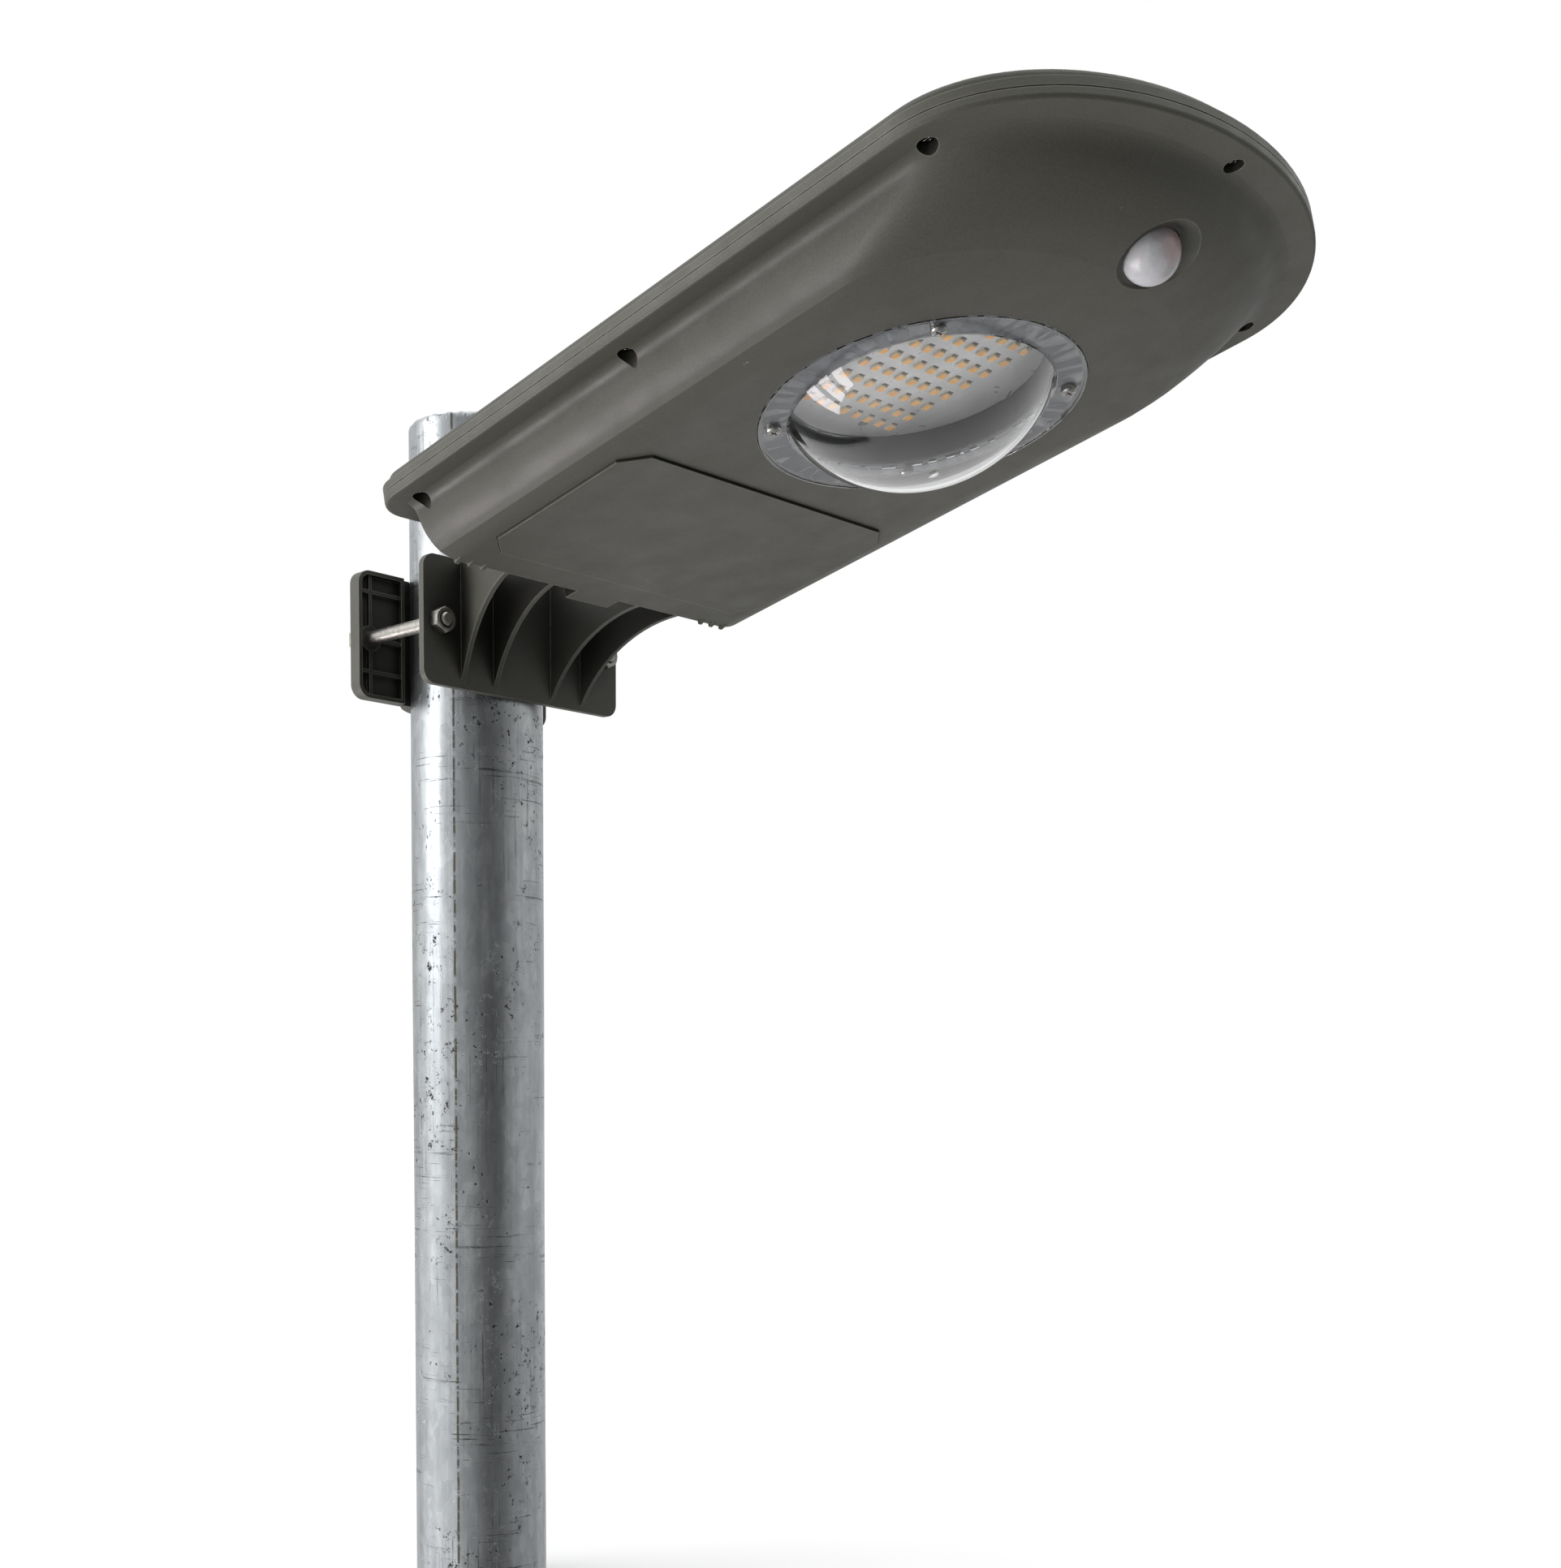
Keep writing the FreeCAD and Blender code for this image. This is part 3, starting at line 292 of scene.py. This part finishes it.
def solar_cell():
    """Blue-black silicon under a thin coating, with silver fingers and busbars."""
    p = Paint("solar_cell", (0.006, 0.009, 0.03), 0.28, Coat_Weight=0.3)
    at = p.node("ShaderNodeSeparateXYZ", {"Vector": in_head(p)})
    grain = p.cells(90, output="Color")
    tone = p.mix(0.5, (0.006, 0.01, 0.034), p.mix(1.0, (0.012, 0.02, 0.07), grain, "MULTIPLY"))
    finger = line_mask(p, at.outputs["X"], 2.0, 0.22)
    bar = line_mask(p, at.outputs["Y"], 28.0, 1.3, 14.0)
    tone = p.mix(finger, tone, (0.2, 0.21, 0.23))
    p.set("Base Color", p.mix(bar, tone, (0.5, 0.51, 0.53)))
    p.set("Roughness", p.ramp(p.noise(200, 3), (0.3, 0.22), (0.7, 0.34)))
    p.set("Normal", p.bump(p.math("MAXIMUM", finger, bar), 0.02 * MM, 0.5))
    return p.material


def sheet_glass(name, tint, gloss_rough, veil):
    """Thin clear layer: see-through, glossier at a glancing angle, with a little dust."""
    p = Paint(name, tint, gloss_rough)
    dust = p.ramp(p.noise(420, 6, 0.75), (0.45, 0.0), (0.8, veil))
    clear = p.node("ShaderNodeBsdfTransparent", {"Color": (*tint, 1)}).outputs[0]
    rough = p.ramp(p.noise(40, 4), (0.3, gloss_rough * 0.7), (0.7, gloss_rough * 1.5))
    gloss = p.node("ShaderNodeBsdfGlossy", {"Roughness": rough}).outputs[0]
    facing = p.node("ShaderNodeLayerWeight", {"Blend": 0.5}).outputs["Facing"]
    sheen = p.math("ADD", 0.034, p.math("MULTIPLY", 0.9, p.math("POWER", facing, 5)))
    both = p.node("ShaderNodeMixShader", {0: sheen, 1: clear, 2: gloss}).outputs[0]
    p.set("Base Color", (0.6, 0.6, 0.57))
    p.set("Roughness", 0.9)
    last = p.node("ShaderNodeMixShader", {0: dust, 1: both, 2: p.shader.outputs[0]}).outputs[0]
    p.tree.links.new(last, p.tree.nodes["Material Output"].inputs["Surface"])
    return p.material


def board_face():
    """White solder mask over aluminium: silvery, with etched lands and light handling marks."""
    p = Paint("board_white", (0.5, 0.5, 0.5), 0.34, 0.35)
    cloud = p.noise(30, 4, 0.6)
    tone = p.ramp(cloud, (0.3, (0.4, 0.4, 0.4)), (0.7, (0.56, 0.555, 0.55)))
    smear = p.ramp(p.noise(70, 6, 0.7, p.mapped((1.0, 5.0, 1.0))), (0.55, 0.0), (0.75, 0.4))
    p.set("Base Color", p.mix(smear, tone, (0.66, 0.66, 0.65)))
    p.set("Roughness", p.ramp(p.noise(180, 4), (0.3, 0.26), (0.7, 0.45)))
    p.set("Normal", p.bump(p.noise(900, 3), 0.03 * MM, 0.3, p.rounded(0.2 * MM)))
    return p.material


def pir_plastic(centre, glow):
    """Milky polyethylene, moulded as a mosaic of small soft facets, with a red lamp behind one edge."""
    p = Paint("pir_plastic", (0.36, 0.36, 0.38), 0.26, Subsurface_Weight=0.3, Subsurface_Scale=0.003)
    local = p.node("ShaderNodeVectorMath", {0: p.place, 1: tuple(-c for c in centre)},
                   operation="ADD").outputs[0]
    facets = p.cells(FACETS, local, randomness=0.3)
    tints = p.cells(FACETS, local, output="Color", randomness=0.3)
    shade = p.node("ShaderNodeRGBToBW", {"Color": tints}).outputs["Val"]
    tone = p.mix(p.ramp(shade, (0.2, 0.0), (0.8, 0.5)), (0.52, 0.525, 0.545), (0.4, 0.4, 0.42))
    tone = p.mix(p.ramp(p.noise(90, 3), (0.4, 0.0), (0.8, 0.35)), tone, (0.43, 0.42, 0.445))
    apart = p.node("ShaderNodeVectorMath", {0: p.place, 1: tuple(glow)},
                   operation="DISTANCE").outputs["Value"]
    p.set("Base Color", p.mix(p.ramp(apart, (0.002, 0.6), (0.006, 0.0)), tone, (0.6, 0.24, 0.22)))
    p.set("Roughness", p.ramp(p.noise(300, 3), (0.3, 0.18), (0.7, 0.32)))
    p.set("Normal", p.bump(facets, 0.5 * MM, 0.3))
    return p.material


def phosphor():
    """Yellow-orange silicone over the chips."""
    p = Paint("phosphor", (0.85, 0.42, 0.1), 0.45, Subsurface_Weight=0.1, Subsurface_Scale=0.0005)
    cloud = p.ramp(p.noise(260, 3), (0.35, 0.0), (0.7, 1.0))
    p.set("Base Color", p.mix(cloud, (0.8, 0.36, 0.08), (0.9, 0.5, 0.17)))
    p.set("Roughness", p.ramp(p.noise(900, 2), (0.3, 0.35), (0.7, 0.55)))
    p.set("Normal", p.bump(p.noise(1800, 2), 0.04 * MM, 0.5))
    return p.material


def wear(names, material):
    for name in names:
        slots = NODES[name].data.materials
        slots.clear()
        slots.append(material)


# ---- meshes ---------------------------------------------------------------------------------------
def piece(name, mesh, material, body):
    """A visual piece of its own, riding on a body."""
    made = bpy.data.objects.new(name, mesh)
    bpy.context.scene.collection.objects.link(made)
    mesh.materials.append(material)
    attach(made, body)
    return made


def soften(mesh, angle=35):
    """Smooth shading except across sharp edges."""
    mesh.polygons.foreach_set("use_smooth", [True] * len(mesh.polygons))
    mesh.set_sharp_from_angle(angle=math.radians(angle))


def pole_mesh():
    """Welded tube with slightly uneven walls and a rough saw-cut top."""
    around = 192                                    # points in a ring
    levels = [i * 0.01 for i in range(53)] + [0.5245, 0.527, 0.5285]
    dent_depth, chip_depth, least_outer = 0.00012, 0.0009, 0.029
    mesh = bpy.data.meshes.new("pole")
    bm = bmesh.new()
    loops = []

    def ring(radius, height, ragged):
        points = []
        for i in range(around):
            turn = 2 * math.pi * i / around
            x, y = math.cos(turn), math.sin(turn)
            dent = dent_depth * (noise.noise(Vector((x * 3, y * 3, height * 9))) - 1)
            coarse = noise.noise(Vector((x * 9, y * 9, 4.0)))
            chip = coarse + 0.6 * noise.noise(Vector((x * 26, y * 26, 1.0)))
            drop = ragged * (1.0 + chip) * chip_depth
            r = radius + (dent if radius > least_outer else -dent * 0.2)
            points.append(bm.verts.new((x * r, y * r, height - drop)))
        loops.append(points)

    outer, inner, top = POLE_R * MM, (POLE_R - POLE_WALL) * MM, POLE_LENGTH * MM
    for height in levels:
        ring(outer, height, 0.0)
    for radius, height, ragged in (
            (outer - 0.0001, 0.5294, 0.8), (outer - 0.0007, top, 0.6), ((outer + inner) / 2, top, 0.9),
            (inner + 0.0004, top, 0.7), (inner, 0.529, 0.8), (inner, 0.4, 0.0), (inner, 0.0, 0.0)):
        ring(radius, height, ragged)
    for low, high in zip(loops, loops[1:] + loops[:1]):
        for i in range(around):
            j = (i + 1) % around
            bm.faces.new((low[i], low[j], high[j], high[i]))
    bmesh.ops.recalc_face_normals(bm, faces=bm.faces)
    bm.to_mesh(mesh)
    bm.free()
    soften(mesh, 50)
    return mesh


def led_marks():
    """Dark thin bars on the board, one on the nose side of each light-emitting package."""
    mesh = bpy.data.meshes.new("marks")
    bm = bmesh.new()
    offset = (LED_ROWS - 1) / 2
    for i in range(LED_ROWS):
        for j in range(LED_ROWS):
            x = LENS_X + (i - offset) * LED_PITCH_X + MARK_SHIFT
            y = (j - offset) * LED_PITCH_Y
            corners = [(x + a * MARK_HALF_X, y + b * MARK_HALF_Y)
                       for a, b in ((-1, -1), (1, -1), (1, 1), (-1, 1))]
            low, high = ([bm.verts.new(HEAD @ Vector((cx, cy, z))) for cx, cy in corners]
                         for z in (BOARD_FACE_Z - MARK_SUNK, BOARD_FACE_Z + MARK_PROUD))
            bm.faces.new(low)
            bm.faces.new(high[::-1])
            for k in range(4):
                bm.faces.new((low[k], high[k], high[(k + 1) % 4], low[(k + 1) % 4]))
    bmesh.ops.recalc_face_normals(bm, faces=bm.faces)
    bm.to_mesh(mesh)
    bm.free()
    return mesh


def cell_faces():
    """The solar cells a hair larger than their pockets, so that the two don't share a surface."""
    source = NODES["panel_cells"]
    mesh = source.data.copy()
    mesh.materials.clear()
    mesh.transform(source.matrix_world)
    for vertex in mesh.vertices:
        vertex.co += vertex.normal * CELL_PROUD * MM
    return mesh


# ---- dress the CAD nodes --------------------------------------------------------------------------
SHELL = shell_plastic()
ZINC = zinc()
STAINLESS = steel("stainless", (0.4, 0.39, 0.375), 0.14)
CLAMP_STEEL = steel("clamp_steel", (0.4, 0.385, 0.355), 0.34)
BLACK = plain("black_plastic", (0.02, 0.02, 0.021), 0.4)
GREEN = plain("board_green", (0.02, 0.11, 0.045), 0.3, 300, 0.35)
pir_low, pir_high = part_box("pir_lens")
PIR_CENTRE = (pir_low + pir_high) / 2
PIR_GLOW = PIR_CENTRE + Vector(((pir_high[0] - pir_low[0]) * GLOW_SHARE, 0.0, 0.0))

wear(["lower_shell", "upper_cover", "rear_jaw"], SHELL)
wear(["pole_tube"], ZINC)
wear(["rim_screws", "lens_screws", "pir_screws", "battery_screws", "controller_screws"], STAINLESS)
wear(["clamp_bolts", "clamp_nut_left", "clamp_nut_right"], CLAMP_STEEL)
wear(["lens_dome"], clear_lens())
wear(["rim_seal"], plain("seal_rubber", (0.02, 0.02, 0.02), 0.75))
wear(["lens_seal"], plain("lens_silicone", (0.24, 0.25, 0.27), 0.6))
wear(["panel_backsheet"], plain("backsheet", (0.8, 0.8, 0.78), 0.45, 200, 0.06))
wear(["panel_encapsulant"], sheet_glass("encapsulant", (0.97, 0.97, 0.95), 0.3, 0.0))
wear(["panel_glass"], sheet_glass("panel_glass", (0.96, 0.985, 0.975), 0.04, 0.07))
wear(["led_thermal_pad"], plain("thermal_pad", (0.5, 0.51, 0.56), 0.7))
wear(["led_board"], board_face())
wear(["led_packages"], plain("led_body", (0.8, 0.66, 0.45), 0.42, 900, 0.08))
wear(["led_phosphor"], phosphor())
wear(["pir_lens"], pir_plastic(PIR_CENTRE, PIR_GLOW))
wear(["pir_sensor"], steel("sensor_can", (0.62, 0.6, 0.55), 0.3))
wear(["pir_board", "controller_board"], GREEN)
wear(["battery_cradle", "battery_strap", "controller_chips"], BLACK)
wear(["battery_cells"], plain("cell_sleeve", (0.02, 0.09, 0.32), 0.26, 200, 0.2))
wear(["battery_strips"], steel("nickel", (0.64, 0.62, 0.57), 0.35))
wear(["controller_connectors"], plain("connector_plastic", (0.76, 0.74, 0.66), 0.42, 400, 0.1))
wear(["controller_coil"], plain("ferrite", (0.045, 0.045, 0.048), 0.6, 800, 0.4, 0.08))
wear(["controller_capacitors"], plain("capacitor_can", (0.03, 0.03, 0.06), 0.3))
for node in NODES.values():
    soften(node.data)

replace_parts(piece("pole", pole_mesh(), ZINC, "pole"), "pole_tube")
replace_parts(piece("cell_faces", cell_faces(), solar_cell(), "head"), "panel_cells")
# plain dark bars beside each light-emitting package
piece("led_marks", led_marks(), plain("dark_bar", (0.12, 0.1, 0.08), 0.5), "head")


# ---- studio ---------------------------------------------------------------------------------------
# brightness of the surroundings by compass angle in degrees: 0 is ahead of the lamp, -90 on its right
WALLS = ((-180, 0.7), (-160, 0.95), (-145, 1.15), (-115, 1.15), (-100, 0.88), (-80, 0.6), (-62, 0.4),
         (-47, 0.2), (-30, 0.12), (-5, 0.12), (12, 0.34), (30, 0.62), (133, 0.7), (180, 0.7))
GROUND = ((-180, 0.75), (-150, 1.25), (-100, 1.3), (-60, 0.5), (-30, 0.18), (20, 0.14), (60, 0.28),
          (120, 0.65), (180, 0.75))
CEILING = (1.4, 1.4, 1.4)
# where the walls fade into the ground and the ceiling, as the upward part of the direction
GROUND_BAND, CEILING_BAND = (-0.1, -0.4), (0.3, 0.8)
# bright panes low behind the lamp on its right, which the light window's dome reflects: the compass
# angle and width of each, then the band that they fill, as the upward part of the direction, and the colour
PANES = ((-150, 11), (-134, 11), (-118, 11))
PANE_BAND = (-0.80, -0.50)
PANE_LIGHT = (10.0, 9.4, 9.6)
BACKDROP = (1.0, 1.0, 1.0)
CAMERA_AT, CAMERA_LENS, CAMERA_SHIFT = (0.7165, -0.5752, 0.232), 44.84, (0.004, 0.2647)
CAMERA_RIGHT, CAMERA_UP = (0.73528, 0.67776, 0.0029), (-0.04047, 0.03964, 0.99839)


def studio_floor():
    """Plain pale floor just under the pole's foot."""
    size, gap = 30.0, 0.0004
    mesh = bpy.data.meshes.new("studio_floor")
    corners = [(-size, -size, 0), (size, -size, 0), (size, size, 0), (-size, size, 0)]
    mesh.from_pydata(corners, [], [(0, 1, 2, 3)])
    floor = bpy.data.objects.new("studio_floor", mesh)
    floor.location = (0, 0, -gap)
    bpy.context.scene.collection.objects.link(floor)
    p = Paint("studio_floor", (0.93, 0.93, 0.93), 0.9)
    p.set("Base Color", p.ramp(p.noise(3, 3), (0.3, 0.92), (0.7, 0.94)))
    mesh.materials.append(p.material)
    floor.visible_diffuse = floor.visible_glossy = floor.visible_shadow = False


def softbox(name, position, target, width, height, power):
    """Rectangular soft light aimed at a point and hidden from the camera."""
    lamp = bpy.data.lights.new(name, "AREA")
    lamp.shape = "RECTANGLE"
    lamp.size, lamp.size_y = width, height
    lamp.energy = power
    made = bpy.data.objects.new(name, lamp)
    made.location = position
    made.rotation_euler = (Vector(target) - Vector(position)).to_track_quat("-Z", "Y").to_euler()
    made.visible_camera = False
    bpy.context.scene.collection.objects.link(made)


def surround():
    """Soft studio light from all round: bright behind the lamp, dim ahead of it, a bright ceiling."""
    world = bpy.data.worlds.new("studio")
    bpy.context.scene.world = world
    world.use_nodes = True
    tree = world.node_tree
    add, join = tree.nodes.new, tree.links.new
    split = add("ShaderNodeSeparateXYZ")
    join(add("ShaderNodeTexCoord").outputs["Generated"], split.inputs[0])

    def spread(value, low, high):
        made = add("ShaderNodeMapRange")
        made.inputs["From Min"].default_value = low
        made.inputs["From Max"].default_value = high
        join(value, made.inputs["Value"])
        return made.outputs["Result"]

    def arithmetic(operation, a, b):
        made = add("ShaderNodeMath")
        made.operation = operation
        for socket, value in zip(made.inputs, (a, b)):
            if isinstance(value, float):
                socket.default_value = value
            else:
                join(value, socket)
        return made.outputs[0]

    def by_azimuth(stops):
        made = add("ShaderNodeValToRGB")
        marks = made.color_ramp.elements
        while len(marks) < len(stops):
            marks.new(0.5)
        for mark, (degrees, value) in zip(marks, stops):
            mark.position = (degrees + 180) / 360
            mark.color = (value, value, value, 1)
        join(spread(angle, -math.pi, math.pi), made.inputs["Fac"])
        return made.outputs["Color"]

    def blend(amount, a, b):
        made = add("ShaderNodeMix")
        made.data_type = "RGBA"
        join(amount, made.inputs[0])
        for socket, value in ((made.inputs[6], a), (made.inputs[7], b)):
            if isinstance(value, tuple):
                socket.default_value = value
            else:
                join(value, socket)
        return made.outputs[2]

    angle = arithmetic("ARCTAN2", split.outputs["Y"], split.outputs["X"])
    light = blend(spread(split.outputs["Z"], *GROUND_BAND), by_azimuth(WALLS), by_azimuth(GROUND))
    light = blend(spread(split.outputs["Z"], *CEILING_BAND), light, (*CEILING, 1))
    for azimuth, width in PANES:
        off_middle = arithmetic("ABSOLUTE", arithmetic("SUBTRACT", angle, math.radians(azimuth)), 0.0)
        pane = arithmetic("LESS_THAN", off_middle, math.radians(width / 2))
        for operation, height in (("GREATER_THAN", PANE_BAND[0]), ("LESS_THAN", PANE_BAND[1])):
            pane = arithmetic("MULTIPLY", pane, arithmetic(operation, split.outputs["Z"], height))
        light = blend(pane, light, (*PANE_LIGHT, 1))
    seen = blend(add("ShaderNodeLightPath").outputs["Is Camera Ray"], light, (*BACKDROP, 1))
    join(seen, tree.nodes["Background"].inputs["Color"])


def camera():
    """Eye level just below the lamp head, looking nearly level, with the frame raised."""
    data = bpy.data.cameras.new("camera")
    made = bpy.data.objects.new("camera", data)
    bpy.context.scene.collection.objects.link(made)
    data.sensor_width = 36.0
    data.lens = CAMERA_LENS
    data.shift_x, data.shift_y = CAMERA_SHIFT
    data.clip_start, data.clip_end = 0.02, 100
    right, up = Vector(CAMERA_RIGHT), Vector(CAMERA_UP)
    turn = Matrix((right, up, right.cross(up))).transposed().to_4x4()
    made.matrix_world = Matrix.Translation(CAMERA_AT) @ turn
    bpy.context.scene.camera = made


studio_floor()
surround()
softbox("window", (-0.9, -1.5, 0.9), (0.15, 0, 0.45), 0.9, 1.2, 9)
camera()
bpy.context.scene.view_settings.view_transform = "Standard"
